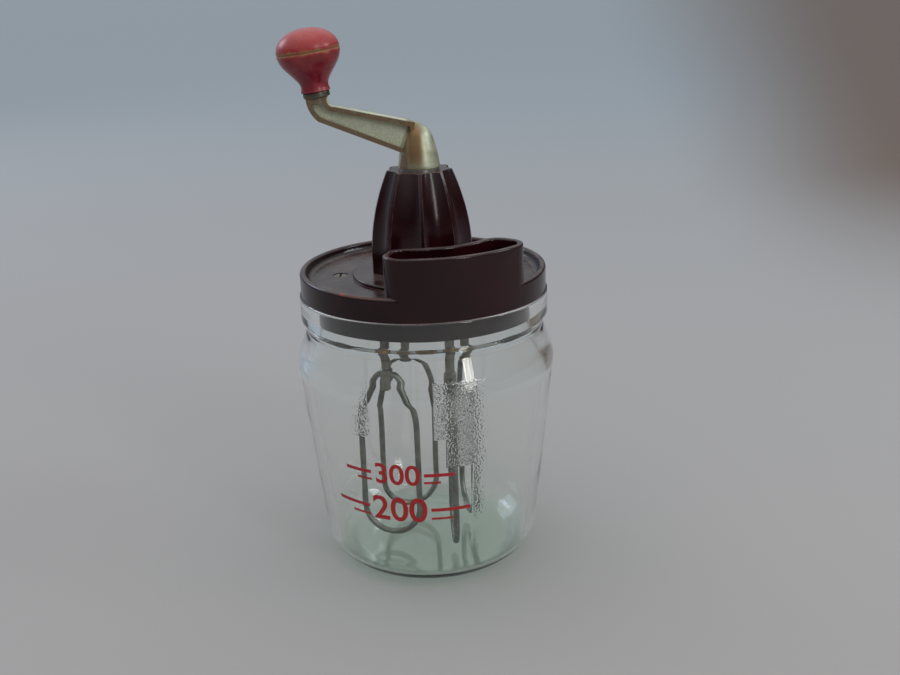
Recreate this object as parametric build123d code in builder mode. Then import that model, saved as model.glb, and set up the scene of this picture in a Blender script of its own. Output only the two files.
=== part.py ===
"""Hand cranked mixing jar: glass jar, moulded lid with oil cup and fluted tower, crank, gears and four whisks.

Millimetres. The origin is on the jar's axis at the middle of its flat base, +Z is up, the crank points to -X
and the oil cup is at the front, -Y. Azimuths in degrees are counted from -Y towards +X.
"""
import math
import os

from build123d import *

os.makedirs("parts", exist_ok=True)

# ---------------------------------------------------------------- clearances
run_fit = 0.05
turn_gap = 0.15
seat_gap = 0.3
lid_play = 0.4
overrun = 1.0

# ---------------------------------------------------------------- glass jar
jar_base_r = 46.0
jar_base_round = 16.0
jar_taper = 0.105
jar_shoulder_z = 94.0
jar_shoulder_round = 17.0
jar_groove_in = 2.9
jar_groove_z = 107.0
jar_groove_round = 3.5
jar_bead_out = 3.9
jar_bead_low_z = 111.3
jar_bead_round = 1.8
jar_seat_z = 121.5
jar_lip_wall = 3.4
jar_lip_rise = 2.7
jar_mouth_r = 45.6
jar_mouth_z = 104.5
jar_mouth_round = 6.0
jar_wall = 4.4
jar_floor = 5.0
jar_floor_round = 7.0
jar_inner_shoulder_drop = 4.0

# ---------------------------------------------------------------- lid
lid_skirt_wall = 2.8
lid_rim_rise = 9.7
lid_rim_round = 1.2
lid_rim_width = 2.6
lid_rim_slope = 0.6
lid_cove_round = 2.6
lid_floor_rise = 6.0
lid_floor_thick = 3.0
lid_platform_r = 30.0
lid_platform_step = 1.5
plug_wall = 2.5
plug_depth = 9.0
gear_room_wall = 2.5
gear_room_clear = 2.2
gear_room_depth = 7.5
roof_thick = 3.0
ear_radius = 4.4
ear_ring_r = 35.3
ear_azimuth = -91.6
ear_count = 2

# ---------------------------------------------------------------- oil cup on the lid
cup_width = 18.7
cup_from_az = -20.0
cup_to_az = 57.0
cup_wall = 2.5
cup_top_rise = 25.6
cup_floor_rise = 8.5
cup_corner = 8.0
cup_lip_round = 0.9
drip_hole_r = 1.0
drip_inset = 13.6
drip_az = 18.0

# ---------------------------------------------------------------- fluted tower on the lid
tower_foot_r = 21.4
tower_top_r = 13.6
tower_height = 43.2
tower_straight = 8.0
flute_count = 9
flute_depth = 3.0
flute_phase = 1.0
ridge_width = 1.3
tower_wall = 3.0
tower_foot_wall = 5.0
tower_head = 13.0
tower_sections = 6

# ---------------------------------------------------------------- gears and their cover
gear_module = 1.0
drive_teeth = 28
pinion_teeth = 12
tooth_addendum = 0.8
tooth_dedendum = 1.1
tooth_backlash = 0.2
pressure_angle = 20.0
gear_face = 6.5
whisk_first_az = -61.0
whisk_count = 4
cover_thick = 1.5
gear_boss_r = 6.5
gear_boss_rise = 5.0
gear_pin_r = 0.9
gear_pin_inset = 0.3
flank_steps = 4
roof_boss_r = 4.2

# ---------------------------------------------------------------- bushes and screws
bush_flange = 1.5
bush_tail = 2.0
whisk_bush_wall = 1.1
whisk_bush_lip = 0.9
shaft_bush_wall = 1.5
shaft_bush_lip = 1.5
top_bush_length = 15.0
screw_shank_r = 1.7
screw_head_r = 3.0
screw_head_thick = 1.6
screw_recess = 1.9
screw_slot = 0.8
nut_across = 5.5
nut_thick = 2.8
screw_tail = 2.2

# ---------------------------------------------------------------- crank
shaft_r = 3.0
shaft_tail = 1.0
shaft_chamfer = 0.5
clip_r = 5.2
clip_thick = 1.6
clip_drop = 0.4
washer_r = 8.4
washer_thick = 0.9
hub_r = 8.65
hub_side = 1.0
hub_dome = 16.2
hub_crown_r = 6.0
hub_crown_turn = 70.0
hub_bore_depth = 11.0
hub_screw_r = 1.5
hub_screw_inset = 0.6
hub_screw_slot = 0.5
hub_screw_z = 5.0
arm_width = 8.0
arm_web = 3.0
arm_flange = 1.9
arm_root_low = 3.9
arm_root_high = 18.3
arm_root_x = -1.0
arm_root_round = 2.5
arm_crest_r = 3.6
arm_crest_drop = 0.15
arm_end_low = 20.0
arm_end_high = 25.6
arm_end_x = -40.0
arm_neck_x = -35.6
arm_neck_start = 2.5
arm_neck_sag = 1.1
arm_heel_in = 1.4
arm_heel_drop = 0.4
boss_r = 4.4
boss_length = 2.4

# ---------------------------------------------------------------- knob
knob_lean = 7.5
knob_seat_x = -40.15
knob_seat_rise = 30.4
collar_r = 5.45
collar_thick = 2.3
collar_round = 0.5
knob_r = 12.85
knob_foot_r = 6.0
knob_neck_r = 5.6
knob_neck_s = 4.5
knob_waist_s = 8.6
knob_waist_r = 8.1
knob_belly_s = 12.4
knob_belly_r = 11.0
knob_equator_s = 18.4
knob_top_s = 27.3
knob_pin_r = 2.5
knob_pin_top_s = 19.0
knob_pin_root = 2.2
ring_s = 13.0
ring_width = 1.2
ring_bite = 0.5
ring_out = 0.6

# ---------------------------------------------------------------- whisks
spindle_r = 2.0
spindle_top_gap = 0.5
eye_r = 2.7
eye_height = 6.0
eye_chamfer = 0.6
loop_top_z = 84.0
loop_half = 12.6
wire_r = 1.3
wire_play = 0.03
loop_flat = 2.8
loop_crown_r = 2.2
loop_crown_turn = 50.0
loop_bottom_gap = 4.4
whisk_turns = {1: -15.0, 2: 92.0, 3: 100.0, 4: 8.0}

# ---------------------------------------------------------------- places that follow from the sizes
jar_lip_r = jar_mouth_r + jar_lip_wall
jar_bead_r = jar_lip_r + jar_bead_out
jar_groove_r = jar_bead_r - jar_groove_in
lid_z = jar_seat_z
rim_z = lid_z + lid_rim_rise
floor_z = lid_z + lid_floor_rise
under_z = floor_z - lid_floor_thick
platform_z = floor_z + lid_platform_step
ear_top_z = floor_z
roof_z = platform_z - roof_thick
plug_r = jar_mouth_r - lid_play
plug_low_z = jar_seat_z - plug_depth
skirt_r = jar_lip_r + lid_play
lid_r = skirt_r + lid_skirt_wall
cup_inner_r = lid_r - cup_width
drip_ring_r = lid_r - drip_inset
cover_top_z = lid_z - gear_room_depth
cover_low_z = cover_top_z - cover_thick
drive_pitch_r = gear_module * drive_teeth / 2
pinion_pitch_r = gear_module * pinion_teeth / 2
whisk_ring_r = drive_pitch_r + pinion_pitch_r
pinion_reach = whisk_ring_r + pinion_pitch_r + tooth_addendum * gear_module
gear_room_r = pinion_reach + gear_room_clear
gear_room_outer = gear_room_r + gear_room_wall
gear_low_z = cover_top_z + bush_flange + seat_gap
gear_top_z = gear_low_z + gear_face
roof_boss_z = gear_top_z + seat_gap
tower_top_z = platform_z + tower_height
tower_bore_r = tower_foot_r - flute_depth - tower_foot_wall
washer_top_z = tower_top_z + washer_thick
hub_z = washer_top_z + turn_gap
hub_top_z = hub_z + hub_side + hub_dome
shaft_top_z = hub_z + hub_bore_depth
shaft_low_z = cover_low_z - bush_tail - shaft_tail
top_bush_low_z = tower_top_z - top_bush_length
lean = math.radians(knob_lean)
knob_axis = Vector(-math.sin(lean), 0, math.cos(lean))
knob_seat = Vector(knob_seat_x, 0, tower_top_z + knob_seat_rise)
knob_plane = Plane(origin=knob_seat, x_dir=(math.cos(lean), 0, math.sin(lean)), z_dir=knob_axis)
knob_foot_s = collar_thick + turn_gap
loop_low_z = jar_floor + loop_bottom_gap + wire_r
spindle_top_z = roof_z - spindle_top_gap


def around(radius, azimuth, height=0.0):
    """Point at a radius and azimuth from the jar's axis."""
    angle = math.radians(azimuth)
    return (radius * math.sin(angle), -radius * math.cos(angle), height)


def whisk_place(number):
    """Axis of one whisk at height zero."""
    return around(whisk_ring_r, whisk_first_az + (number - 1) * 360 / whisk_count)


def corner(sketch, across, up):
    """Vertex of a sketch nearest to a place in the sketch's own plane."""
    return sketch.vertices().sort_by_distance((across, up, 0))[0]


def keep(builder, name):
    """Label a finished piece and write its STEP file."""
    builder.part.label = name
    export_step(builder.part, f"parts/{name}.step")


# ---------------------------------------------------------------- glass jar
def make_glass_jar():
    """Pressed glass jar: tapered wall, bulging shoulder, bead under the lid, thick rounded base."""
    shoulder_r = jar_base_r + jar_taper * jar_shoulder_z
    inner_foot_r = jar_base_r - jar_wall + jar_taper * jar_floor
    inner_shoulder_z = jar_shoulder_z - jar_inner_shoulder_drop
    inner_shoulder_r = jar_base_r - jar_wall + jar_taper * inner_shoulder_z
    with BuildPart() as jar:
        with BuildSketch(Plane.XZ) as outer:
            with BuildLine():
                Polyline(
                    (0, 0),
                    (jar_base_r, 0),
                    (shoulder_r, jar_shoulder_z),
                    (jar_groove_r, jar_groove_z),
                    (jar_bead_r, jar_bead_low_z),
                    (jar_bead_r, jar_seat_z),
                    (jar_lip_r, jar_seat_z),
                    (jar_lip_r, jar_seat_z + jar_lip_rise),
                    (0, jar_seat_z + jar_lip_rise),
                    (0, 0),
                )
            make_face()
            fillet(corner(outer, jar_base_r, 0), jar_base_round)
            fillet(corner(outer, shoulder_r, jar_shoulder_z), jar_shoulder_round)
            fillet(corner(outer, jar_groove_r, jar_groove_z), jar_groove_round)
            fillet(corner(outer, jar_bead_r, jar_bead_low_z), jar_bead_round)
            fillet(corner(outer, jar_bead_r, jar_seat_z), jar_bead_round / 2)
        revolve(axis=Axis.Z)
        with BuildSketch(Plane.XZ) as inner:
            with BuildLine():
                Polyline(
                    (0, jar_floor),
                    (inner_foot_r, jar_floor),
                    (inner_shoulder_r, inner_shoulder_z),
                    (jar_mouth_r, jar_mouth_z),
                    (jar_mouth_r, jar_seat_z + jar_lip_rise),
                    (0, jar_seat_z + jar_lip_rise),
                    (0, jar_floor),
                )
            make_face()
            fillet(corner(inner, inner_foot_r, jar_floor), jar_floor_round)
            fillet(corner(inner, inner_shoulder_r, inner_shoulder_z), jar_shoulder_round)
            fillet(corner(inner, jar_mouth_r, jar_mouth_z), jar_mouth_round)
        revolve(axis=Axis.Z, mode=Mode.SUBTRACT)
    keep(jar, "glass_jar")


# ---------------------------------------------------------------- lid
def tower_ridge_r(height):
    """Radius over the ridges at a height above the platform: straight foot, then a parabola to the top."""
    share = max(0.0, (height - tower_straight) / (tower_height - tower_straight))
    return tower_foot_r - (tower_foot_r - tower_top_r) * share**2


def flute_outline(radius):
    """Closed outline of the tower at one height: narrow ridges joined by hollow flutes."""
    step = 360 / flute_count
    half = math.degrees(ridge_width / 2 / radius)
    deep = radius * (1 - flute_depth / tower_foot_r)
    with BuildLine() as line:
        for number in range(flute_count):
            ridge = flute_phase + number * step
            left = around(radius, ridge - half)[:2]
            right = around(radius, ridge + half)[:2]
            middle = around(deep, ridge + step / 2)[:2]
            following = around(radius, ridge + step - half)[:2]
            Line(left, right)
            ThreePointArc(right, middle, following)
    return line


def cup_sketch(inset):
    """Rounded ring sector of the oil cup, drawn in by an inset all round."""
    low = cup_inner_r + inset
    high = lid_r - inset
    middle = (low + high) / 2
    turn = math.degrees(inset / middle)
    start = cup_from_az + turn
    end = cup_to_az - turn
    half = (start + end) / 2
    corner = cup_corner - inset
    with BuildSketch() as sector:
        with BuildLine():
            ThreePointArc(around(high, start)[:2], around(high, half)[:2], around(high, end)[:2])
            Line(around(high, end)[:2], around(low, end)[:2])
            ThreePointArc(around(low, end)[:2], around(low, half)[:2], around(low, start)[:2])
            Line(around(low, start)[:2], around(high, start)[:2])
        make_face()
        fillet(sector.vertices(), corner)
    return sector.sketch


def make_lid():
    """Lid in one moulding: dished top, oil cup, fluted tower, plug ring and gear room."""
    top_shell_r = tower_top_r * (1 - flute_depth / tower_foot_r) - tower_wall
    with BuildPart() as lid:
        with BuildSketch(Plane.XZ) as section:
            with BuildLine():
                Polyline(
                    (tower_bore_r, roof_z),
                    (gear_room_r, roof_z),
                    (gear_room_r, cover_top_z),
                    (gear_room_outer, cover_top_z),
                    (gear_room_outer, under_z),
                    (plug_r - plug_wall, under_z),
                    (plug_r - plug_wall, plug_low_z),
                    (plug_r, plug_low_z),
                    (plug_r, under_z + jar_lip_rise / 2),
                    (skirt_r, under_z + jar_lip_rise / 2),
                    (skirt_r, lid_z),
                    (lid_r, lid_z),
                    (lid_r, rim_z),
                    (lid_r - lid_rim_width, rim_z),
                    (lid_r - lid_rim_width - lid_rim_slope, floor_z),
                    (lid_platform_r, floor_z),
                    (lid_platform_r, platform_z),
                    (tower_bore_r, platform_z),
                    (tower_bore_r, roof_z),
                )
            make_face()
            fillet(corner(section, lid_r, rim_z), lid_rim_round)
            fillet(corner(section, lid_r - lid_rim_width, rim_z), lid_rim_round)
            fillet(corner(section, lid_r - lid_rim_width, floor_z), lid_cove_round)
            fillet(corner(section, lid_platform_r, platform_z), lid_platform_step / 2)
        revolve(axis=Axis.Z)
        # screw ears: flush with the dish and carried down to the gear cover
        with BuildSketch(Plane.XY.offset(cover_top_z)):
            with PolarLocations(ear_ring_r, ear_count, start_angle=ear_azimuth - 90):
                Circle(ear_radius)
        extrude(amount=ear_top_z - cover_top_z)
        # fluted tower
        for number in range(tower_sections):
            height = tower_height * number / (tower_sections - 1)
            with BuildSketch(Plane.XY.offset(platform_z + height)):
                add(flute_outline(tower_ridge_r(height)))
                make_face()
        loft()
        # oil cup, flush with the side of the lid
        with BuildSketch(Plane.XY.offset(under_z)):
            add(cup_sketch(0))
        extrude(amount=lid_z + cup_top_rise - under_z)
        with BuildSketch(Plane.XY.offset(lid_z + cup_floor_rise)):
            add(cup_sketch(cup_wall))
        extrude(amount=cup_top_rise - cup_floor_rise, mode=Mode.SUBTRACT)
        cup_rim = lid.faces().filter_by(Axis.Z).filter_by_position(
            Axis.Z, lid_z + cup_top_rise - 0.01, lid_z + cup_top_rise + 0.01
        )
        fillet(cup_rim.edges(), cup_lip_round)
        with BuildSketch(Plane.XY.offset(under_z)):
            with Locations(around(drip_ring_r, drip_az)[:2]):
                Circle(drip_hole_r)
        extrude(amount=lid_z + cup_floor_rise - under_z, mode=Mode.SUBTRACT)
        # hollow of the tower and the bore for the upper bush
        with BuildSketch(Plane.XZ):
            with BuildLine():
                Polyline(
                    (0, roof_z),
                    (tower_bore_r, roof_z),
                    (tower_bore_r, platform_z + tower_straight),
                    (top_shell_r, tower_top_z - tower_head),
                    (shaft_r + run_fit + shaft_bush_wall, tower_top_z - tower_head),
                    (shaft_r + run_fit + shaft_bush_wall, tower_top_z),
                    (0, tower_top_z),
                    (0, roof_z),
                )
            make_face()
        revolve(axis=Axis.Z, mode=Mode.SUBTRACT)
        # bosses and blind bores in the roof for the whisk spindles
        with BuildSketch(Plane.XY.offset(roof_boss_z)):
            with PolarLocations(whisk_ring_r, whisk_count, start_angle=whisk_first_az - 90):
                Circle(roof_boss_r)
        extrude(amount=roof_z - roof_boss_z)
        with BuildSketch(Plane.XY.offset(roof_boss_z)):
            with PolarLocations(whisk_ring_r, whisk_count, start_angle=whisk_first_az - 90):
                Circle(spindle_r + run_fit)
        extrude(amount=roof_z - roof_boss_z, mode=Mode.SUBTRACT)
        # screw holes with recesses for the heads
        with BuildSketch(Plane.XY.offset(cover_top_z)):
            with PolarLocations(ear_ring_r, ear_count, start_angle=ear_azimuth - 90):
                Circle(screw_shank_r)
        extrude(amount=ear_top_z - cover_top_z, mode=Mode.SUBTRACT)
        with BuildSketch(Plane.XY.offset(ear_top_z - screw_recess)):
            with PolarLocations(ear_ring_r, ear_count, start_angle=ear_azimuth - 90):
                Circle(screw_head_r + seat_gap)
        extrude(amount=screw_recess, mode=Mode.SUBTRACT)
    keep(lid, "lid_body")


# ---------------------------------------------------------------- gear cover, bushes and screws
def make_gear_cover():
    """Sheet metal plate under the gears, with two ears for the screws."""
    with BuildPart() as cover:
        with BuildSketch(Plane.XY.offset(cover_low_z)):
            Circle(gear_room_outer)
            with PolarLocations(ear_ring_r, ear_count, start_angle=ear_azimuth - 90):
                Circle(ear_radius)
            with PolarLocations(ear_ring_r - ear_radius, ear_count, start_angle=ear_azimuth - 90):
                Rectangle(2 * ear_radius, 2 * ear_radius)
            with PolarLocations(ear_ring_r, ear_count, start_angle=ear_azimuth - 90):
                Circle(screw_shank_r, mode=Mode.SUBTRACT)
            with PolarLocations(whisk_ring_r, whisk_count, start_angle=whisk_first_az - 90):
                Circle(spindle_r + run_fit + whisk_bush_wall, mode=Mode.SUBTRACT)
            Circle(shaft_r + run_fit + shaft_bush_wall, mode=Mode.SUBTRACT)
        extrude(amount=cover_thick)
    keep(cover, "gear_cover")


def make_bush(name, place, bore_r, wall, lip, low_z, top_z, flange):
    """Plain bush with a flange on top of the cover."""
    with BuildPart() as bush:
        with BuildSketch(Plane.XY.offset(low_z)):
            with Locations(place):
                Circle(bore_r + wall)
        extrude(amount=top_z - low_z)
        if flange > 0:
            with BuildSketch(Plane.XY.offset(top_z - flange)):
                with Locations(place):
                    Circle(bore_r + wall + lip)
            extrude(amount=flange)
        with BuildSketch(Plane.XY.offset(low_z)):
            with Locations(place):
                Circle(bore_r)
        extrude(amount=top_z - low_z, mode=Mode.SUBTRACT)
    keep(bush, name)


def make_bushes():
    """Upper and lower shaft bushes and one bush for each whisk."""
    low_z = cover_low_z - bush_tail
    top_z = cover_top_z + bush_flange
    bore = shaft_r + run_fit
    eye_bore = spindle_r + run_fit
    make_bush("upper_bush", (0, 0), bore, shaft_bush_wall, 0.0, top_bush_low_z, tower_top_z, 0.0)
    make_bush("lower_bush", (0, 0), bore, shaft_bush_wall, shaft_bush_lip, low_z, top_z, bush_flange)
    for number in range(1, whisk_count + 1):
        name = f"whisk_bush_{number}"
        place = whisk_place(number)[:2]
        make_bush(name, place, eye_bore, whisk_bush_wall, whisk_bush_lip, low_z, top_z, bush_flange)


def make_cover_screws():
    """Two slotted screws through the lid, with their nuts under the gear cover."""
    head_z = ear_top_z - screw_recess
    nut_low_z = cover_low_z - nut_thick
    with BuildPart() as screws:
        with BuildSketch(Plane.XY.offset(head_z)):
            with PolarLocations(ear_ring_r, ear_count, start_angle=ear_azimuth - 90):
                Circle(screw_head_r)
        extrude(amount=screw_head_thick)
        with BuildSketch(Plane.XY.offset(head_z)):
            with PolarLocations(ear_ring_r, ear_count, start_angle=ear_azimuth - 90):
                Circle(screw_shank_r)
        extrude(amount=nut_low_z - screw_tail - head_z)
        with BuildSketch(Plane.XY.offset(head_z + screw_head_thick / 2)):
            with PolarLocations(ear_ring_r, ear_count, start_angle=ear_azimuth - 90):
                Rectangle(screw_slot, 2 * screw_head_r + overrun)
        extrude(amount=screw_head_thick / 2, mode=Mode.SUBTRACT)
    keep(screws, "cover_screws")
    with BuildPart() as nuts:
        with BuildSketch(Plane.XY.offset(nut_low_z)):
            with PolarLocations(ear_ring_r, ear_count, start_angle=ear_azimuth - 90):
                RegularPolygon(nut_across / 2, 6, major_radius=False)
                Circle(screw_shank_r, mode=Mode.SUBTRACT)
        extrude(amount=nut_thick)
    keep(nuts, "cover_nuts")


# ---------------------------------------------------------------- gears
def gear_outline(teeth, turn):
    """Closed involute outline with stub teeth, one tooth centred on the turn angle in degrees from +X."""
    pitch_r = gear_module * teeth / 2
    base_r = pitch_r * math.cos(math.radians(pressure_angle))
    tip_r = pitch_r + tooth_addendum * gear_module
    root_r = pitch_r - tooth_dedendum * gear_module
    alpha = math.radians(pressure_angle)
    half = math.pi / (2 * teeth) - tooth_backlash / (4 * pitch_r)

    def half_angle(radius):
        reach = math.acos(min(1.0, base_r / max(radius, base_r)))
        return half + (math.tan(alpha) - alpha) - (math.tan(reach) - reach)

    flank_r = max(root_r, base_r)
    radii = [root_r] + [flank_r + (tip_r - flank_r) * k / flank_steps for k in range(flank_steps + 1)]
    points = []
    for number in range(teeth):
        centre = math.radians(turn) + 2 * math.pi * number / teeth
        for radius in radii:
            angle = centre - half_angle(radius)
            points.append((radius * math.cos(angle), radius * math.sin(angle)))
        for radius in reversed(radii):
            angle = centre + half_angle(radius)
            points.append((radius * math.cos(angle), radius * math.sin(angle)))
    with BuildLine() as line:
        Polyline(*points, close=True)
    return line


def make_gears():
    """Drive gear with its boss and cross pin, and one pinion on each whisk spindle."""
    pin_z = gear_top_z + gear_boss_rise / 2
    with BuildPart() as drive:
        with BuildSketch(Plane.XY.offset(gear_low_z)):
            add(gear_outline(drive_teeth, whisk_first_az - 90))
            make_face()
        extrude(amount=gear_face)
        with BuildSketch(Plane.XY.offset(gear_top_z)):
            Circle(gear_boss_r)
        extrude(amount=gear_boss_rise)
        with BuildSketch(Plane.XY.offset(gear_low_z)):
            Circle(shaft_r)
        extrude(amount=gear_face + gear_boss_rise, mode=Mode.SUBTRACT)
        with Locations((0, 0, pin_z)):
            Cylinder(gear_pin_r, 2 * gear_boss_r + overrun, rotation=(90, 0, 0), mode=Mode.SUBTRACT)
    keep(drive, "drive_gear")
    with BuildPart() as pin:
        with Locations((0, 0, pin_z)):
            Cylinder(gear_pin_r, 2 * (gear_boss_r - gear_pin_inset), rotation=(90, 0, 0))
    keep(pin, "drive_gear_pin")
    for number in range(1, whisk_count + 1):
        place = whisk_place(number)
        facing = whisk_first_az - 90 + (number - 1) * 360 / whisk_count + 180
        with BuildPart() as pinion:
            with BuildSketch(Plane.XY.offset(gear_low_z)) as sketch:
                with Locations(place[:2]):
                    add(gear_outline(pinion_teeth, facing + 180 / pinion_teeth))
                    make_face()
                    Circle(spindle_r, mode=Mode.SUBTRACT)
            extrude(amount=gear_face)
        keep(pinion, f"whisk_pinion_{number}")


# ---------------------------------------------------------------- crank
def make_crank_shaft():
    """Crank shaft from the hub down to the lower bush, with its clip under the upper bush and thrust washer."""
    pin_z = gear_top_z + gear_boss_rise / 2
    with BuildPart() as shaft:
        with BuildSketch(Plane.XY.offset(shaft_low_z)):
            Circle(shaft_r)
        extrude(amount=shaft_top_z - shaft_low_z)
        chamfer(shaft.edges().filter_by(GeomType.CIRCLE).sort_by(Axis.Z)[0], shaft_chamfer)
        with Locations((0, 0, pin_z)):
            Cylinder(gear_pin_r, 2 * gear_boss_r, rotation=(90, 0, 0), mode=Mode.SUBTRACT)
    keep(shaft, "crank_shaft")
    with BuildPart() as clip:
        with BuildSketch(Plane.XY.offset(top_bush_low_z - clip_drop - clip_thick)):
            Circle(clip_r)
            Circle(shaft_r, mode=Mode.SUBTRACT)
        extrude(amount=clip_thick)
    keep(clip, "shaft_clip")
    with BuildPart() as washer:
        with BuildSketch(Plane.XY.offset(tower_top_z)):
            Circle(washer_r)
            Circle(shaft_r + seat_gap, mode=Mode.SUBTRACT)
        extrude(amount=washer_thick)
    keep(washer, "thrust_washer")


def arm_outline():
    """Side outline of the arm from the hub to the elbow under the knob."""
    low = hub_z + arm_root_low
    high = hub_z + arm_root_high
    end_low = hub_z + arm_end_low
    end_high = hub_z + arm_end_high
    boss_left = knob_plane.from_local_coords((-boss_r, 0, 0))
    boss_right = knob_plane.from_local_coords((boss_r, 0, 0))
    with BuildLine() as line:
        a = Line((arm_root_x, low), (arm_end_x, end_low))
        b = Line((arm_root_x, low), (arm_root_x, high))
        c = Line(b @ 1, (arm_neck_x + arm_neck_start, end_high))
        d = Line((boss_right.X, boss_right.Z), (boss_left.X, boss_left.Z))
        ThreePointArc(c @ 1, (arm_neck_x, end_high + arm_neck_sag), d @ 0)
        heel_x = boss_left.X + arm_heel_in
        heel_z = (boss_left.Z + end_low) / 2 - arm_heel_drop
        ThreePointArc(d @ 1, (heel_x, heel_z), a @ 1)
    return line


def arm_pocket():
    """Outline of the recess in each side of the arm, one flange inside the arm's own outline."""
    with BuildSketch() as pocket:
        add(arm_outline())
        make_face()
        offset(amount=-arm_flange, mode=Mode.REPLACE)
    return pocket.sketch


def make_crank_arm():
    """Cast crank: domed hub, I-section arm with a recessed web, elbow and seat for the knob."""
    pocket = arm_pocket()
    pocket_depth = (arm_width - arm_web) / 2
    crown = math.radians(hub_crown_turn)
    crown_x = hub_crown_r * math.sin(crown)
    crown_z = hub_top_z - hub_crown_r * (1 - math.cos(crown))
    half_x = hub_crown_r * math.sin(crown / 2)
    half_z = hub_top_z - hub_crown_r * (1 - math.cos(crown / 2))
    with BuildPart() as crank:
        with BuildSketch(Plane.XZ):
            add(arm_outline())
            make_face()
        extrude(amount=arm_width / 2, both=True)
        fillet(crank.edges().filter_by(Axis.Z).sort_by(Axis.X)[-2:], arm_root_round)
        for side in (1, -1):
            with BuildSketch(Plane.XZ.offset(side * arm_width / 2)):
                add(pocket)
            extrude(amount=-side * pocket_depth, mode=Mode.SUBTRACT)
        with BuildSketch(knob_plane.offset(-boss_length)):
            Circle(boss_r)
        extrude(amount=boss_length)
        with BuildSketch(Plane.XZ):
            with BuildLine():
                Line((0, hub_z), (hub_r, hub_z))
                Line((hub_r, hub_z), (hub_r, hub_z + hub_side))
                down = (math.cos(crown), -math.sin(crown))
                TangentArc((crown_x, crown_z), (hub_r, hub_z + hub_side), tangent=down)
                ThreePointArc((crown_x, crown_z), (half_x, half_z), (0, hub_top_z))
                Line((0, hub_top_z), (0, hub_z))
            make_face()
        revolve(axis=Axis.Z)
        with Locations((arm_root_x, 0, hub_z + arm_root_high - arm_crest_drop - arm_crest_r)):
            Sphere(arm_crest_r)
        with BuildSketch(Plane.XY.offset(hub_z)):
            Circle(shaft_r)
        extrude(amount=hub_bore_depth, mode=Mode.SUBTRACT)
        with BuildSketch(Plane.XZ.offset(-hub_r - overrun)):
            with Locations((0, hub_z + hub_screw_z)):
                Circle(hub_screw_r)
        extrude(amount=hub_r + 2 * overrun - shaft_r, mode=Mode.SUBTRACT)
        with BuildSketch(knob_plane.offset(-knob_pin_root)):
            Circle(knob_pin_r)
        extrude(amount=knob_pin_root + overrun, mode=Mode.SUBTRACT)
    keep(crank, "crank_arm")
    with BuildPart() as screw:
        with BuildSketch(Plane.XZ.offset(hub_screw_inset - hub_r)):
            with Locations((0, hub_z + hub_screw_z)):
                Circle(hub_screw_r)
        extrude(amount=hub_r - hub_screw_inset - shaft_r)
        with BuildSketch(Plane.XZ.offset(hub_screw_inset - hub_r)):
            with Locations((0, hub_z + hub_screw_z)):
                Rectangle(2 * hub_screw_r + overrun, hub_screw_slot)
        extrude(amount=screw_slot, mode=Mode.SUBTRACT)
    keep(screw, "hub_screw")


# ---------------------------------------------------------------- knob
def make_knob():
    """Turned wooden knob on its pin, with the metal collar under it and the spring ring that holds it."""
    pin_hole_r = knob_pin_r + run_fit
    ring_r = knob_pin_r + ring_out
    side = Plane(origin=knob_seat, x_dir=knob_plane.x_dir, z_dir=(0, -1, 0))
    axis = Axis(knob_seat, knob_axis)
    with BuildPart() as knob:
        with BuildSketch(side):
            with BuildLine():
                foot = Line((0, knob_foot_s), (knob_foot_r, knob_foot_s))
                Spline(
                    foot @ 1,
                    (knob_neck_r, knob_neck_s),
                    (knob_waist_r, knob_waist_s),
                    (knob_belly_r, knob_belly_s),
                    (knob_r, knob_equator_s),
                    tangents=((-0.5, 1), (0, 1)),
                )
                dome = knob_top_s - knob_equator_s
                Spline(
                    (knob_r, knob_equator_s),
                    (knob_r * math.sqrt(0.5), knob_equator_s + dome * math.sqrt(0.5)),
                    (0, knob_top_s),
                    tangents=((0, 1), (-1, 0)),
                )
                Line((0, knob_top_s), (0, knob_foot_s))
            make_face()
        revolve(axis=axis)
        with BuildSketch(side):
            with BuildLine():
                Polyline(
                    (0, knob_foot_s),
                    (pin_hole_r, knob_foot_s),
                    (pin_hole_r, ring_s - ring_width / 2 - turn_gap),
                    (ring_r + turn_gap, ring_s - ring_width / 2 - turn_gap),
                    (ring_r + turn_gap, ring_s + ring_width / 2 + turn_gap),
                    (pin_hole_r, ring_s + ring_width / 2 + turn_gap),
                    (pin_hole_r, knob_pin_top_s + seat_gap),
                    (0, knob_pin_top_s + seat_gap),
                    (0, knob_foot_s),
                )
            make_face()
        revolve(axis=axis, mode=Mode.SUBTRACT)
    keep(knob, "knob")
    with BuildPart() as pin:
        with BuildSketch(side):
            with BuildLine():
                Polyline(
                    (0, -knob_pin_root),
                    (knob_pin_r, -knob_pin_root),
                    (knob_pin_r, ring_s - ring_width / 2),
                    (knob_pin_r - ring_bite, ring_s - ring_width / 2),
                    (knob_pin_r - ring_bite, ring_s + ring_width / 2),
                    (knob_pin_r, ring_s + ring_width / 2),
                    (knob_pin_r, knob_pin_top_s),
                    (0, knob_pin_top_s),
                    (0, -knob_pin_root),
                )
            make_face()
        revolve(axis=axis)
    keep(pin, "knob_pin")
    with BuildPart() as ring:
        with BuildSketch(side):
            with Locations(((knob_pin_r - ring_bite + ring_r) / 2, ring_s)):
                Rectangle(ring_bite + ring_out, ring_width)
        revolve(axis=axis)
    keep(ring, "knob_ring")
    with BuildPart() as collar:
        with BuildSketch(knob_plane):
            Circle(collar_r)
            Circle(knob_pin_r, mode=Mode.SUBTRACT)
        extrude(amount=collar_thick)
        fillet(collar.edges().filter_by(GeomType.CIRCLE).sort_by(SortBy.LENGTH)[-2:], collar_round)
    keep(collar, "knob_collar")


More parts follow.
